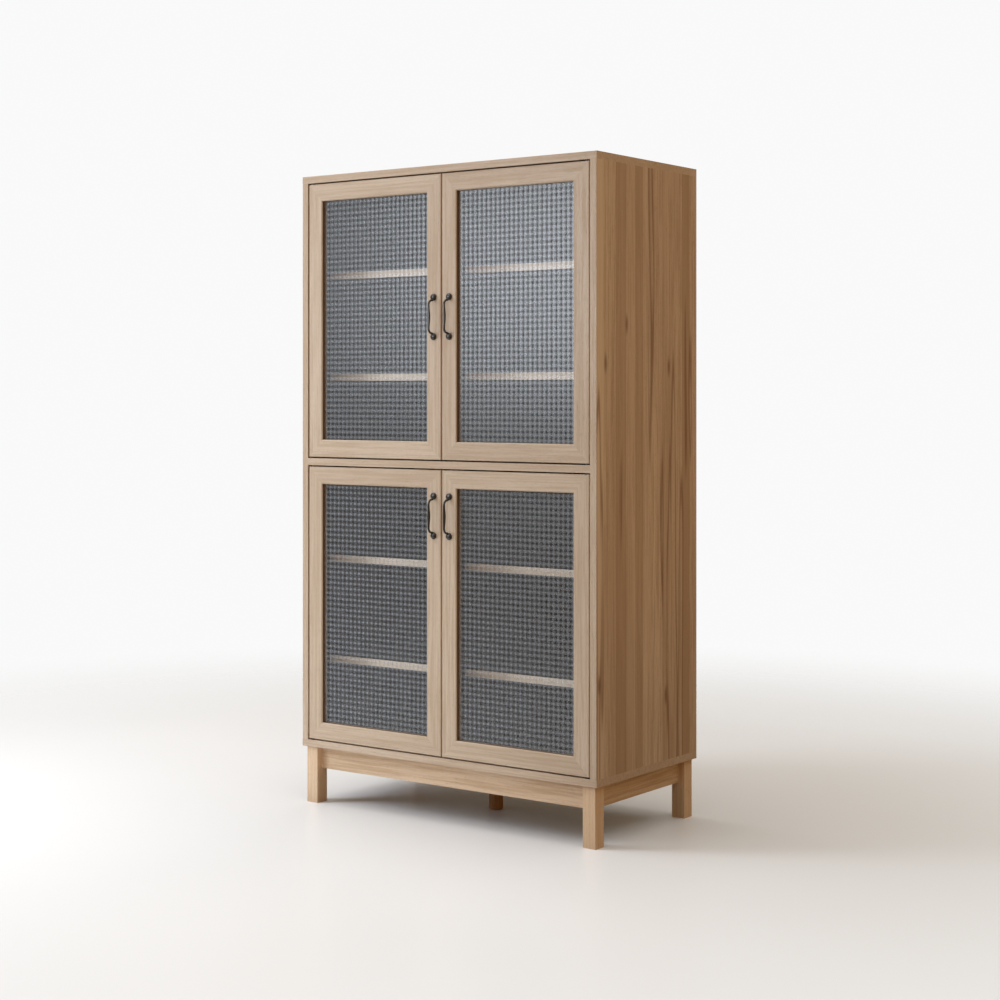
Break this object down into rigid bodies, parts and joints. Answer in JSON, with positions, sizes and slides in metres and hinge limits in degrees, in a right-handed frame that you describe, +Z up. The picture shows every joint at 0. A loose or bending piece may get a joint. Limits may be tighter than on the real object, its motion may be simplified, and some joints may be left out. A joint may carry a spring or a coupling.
{
  "type": "storage cabinet",
  "caption": "Tall wooden storage cabinet with cross-reeded glass doors, bow handles and adjustable shelves, on an open base of square legs and aprons.",
  "frame": {"origin": "on the floor, under the middle of the whole object's box, handles included", "axes": "+X to the viewer's right as seen from the front, +Y from the doors to the back, +Z up"},
  "size_m": [0.9, 0.4718, 1.6],
  "materials": {
    "carcass_wood": "light oak-pattern board, satin",
    "inner_wood": "light oak-pattern board, satin",
    "back_board": "thin printed board, matt",
    "door_wood": "light oak-pattern moulding, satin",
    "base_wood": "clear-lacquered wood, satin",
    "reeded_glass": "cross-reeded glass, glossy",
    "black_iron": "black, semi-gloss",
    "steel": "zinc-plated",
    "nylon": "dark nylon, matt",
    "catch_plastic": "brown plastic, matt"
  },
  "bodies": {
    "carcass": {"top_panel": "carcass_wood", "bottom_panel": "carcass_wood", "middle_panel": "carcass_wood", "left_side_panel": "carcass_wood", "right_side_panel": "carcass_wood", "upper_divider": "inner_wood", "lower_divider": "inner_wood", "upper_left_shelves": "inner_wood", "upper_right_shelves": "inner_wood", "lower_left_shelves": "inner_wood", "lower_right_shelves": "inner_wood", "upper_back_panel": "back_board", "lower_back_panel": "back_board", "front_left_leg": "base_wood", "front_right_leg": "base_wood", "rear_left_leg": "base_wood", "rear_right_leg": "base_wood", "centre_support_leg": "base_wood", "front_apron": "base_wood", "rear_apron": "base_wood", "left_apron": "base_wood", "right_apron": "base_wood", "corner_blocks": "base_wood", "base_fasteners": "steel", "cam_fittings": "steel", "shelf_pins": "steel", "pivot_bushes": "nylon", "magnetic_catches": "catch_plastic"},
    "lower_left_door": {"lower_left_door_hinge_stile": "door_wood", "lower_left_door_meeting_stile": "door_wood", "lower_left_door_top_rail": "door_wood", "lower_left_door_bottom_rail": "door_wood", "lower_left_door_glazing_beads": "door_wood", "lower_left_door_glass": "reeded_glass", "lower_left_door_handle": "black_iron", "lower_left_door_fittings": "steel"},
    "lower_right_door": {"lower_right_door_hinge_stile": "door_wood", "lower_right_door_meeting_stile": "door_wood", "lower_right_door_top_rail": "door_wood", "lower_right_door_bottom_rail": "door_wood", "lower_right_door_glazing_beads": "door_wood", "lower_right_door_glass": "reeded_glass", "lower_right_door_handle": "black_iron", "lower_right_door_fittings": "steel"},
    "upper_left_door": {"upper_left_door_hinge_stile": "door_wood", "upper_left_door_meeting_stile": "door_wood", "upper_left_door_top_rail": "door_wood", "upper_left_door_bottom_rail": "door_wood", "upper_left_door_glazing_beads": "door_wood", "upper_left_door_glass": "reeded_glass", "upper_left_door_handle": "black_iron", "upper_left_door_fittings": "steel"},
    "upper_right_door": {"upper_right_door_hinge_stile": "door_wood", "upper_right_door_meeting_stile": "door_wood", "upper_right_door_top_rail": "door_wood", "upper_right_door_bottom_rail": "door_wood", "upper_right_door_glazing_beads": "door_wood", "upper_right_door_glass": "reeded_glass", "upper_right_door_handle": "black_iron", "upper_right_door_fittings": "steel"}
  },
  "joints": [
    {"name": "lower_left_door_hinge", "type": "hinge", "parent": "carcass", "child": "lower_left_door", "pos_m": [-0.4205, -0.2066, 0.1645], "axis": [0, 0, -1], "range_deg": [0, 110]},
    {"name": "lower_right_door_hinge", "type": "hinge", "parent": "carcass", "child": "lower_right_door", "pos_m": [0.4205, -0.2066, 0.1645], "axis": [0, 0, 1], "range_deg": [0, 110]},
    {"name": "upper_left_door_hinge", "type": "hinge", "parent": "carcass", "child": "upper_left_door", "pos_m": [-0.4205, -0.2066, 0.884], "axis": [0, 0, -1], "range_deg": [0, 110]},
    {"name": "upper_right_door_hinge", "type": "hinge", "parent": "carcass", "child": "upper_right_door", "pos_m": [0.4205, -0.2066, 0.884], "axis": [0, 0, 1], "range_deg": [0, 110]}
  ]
}
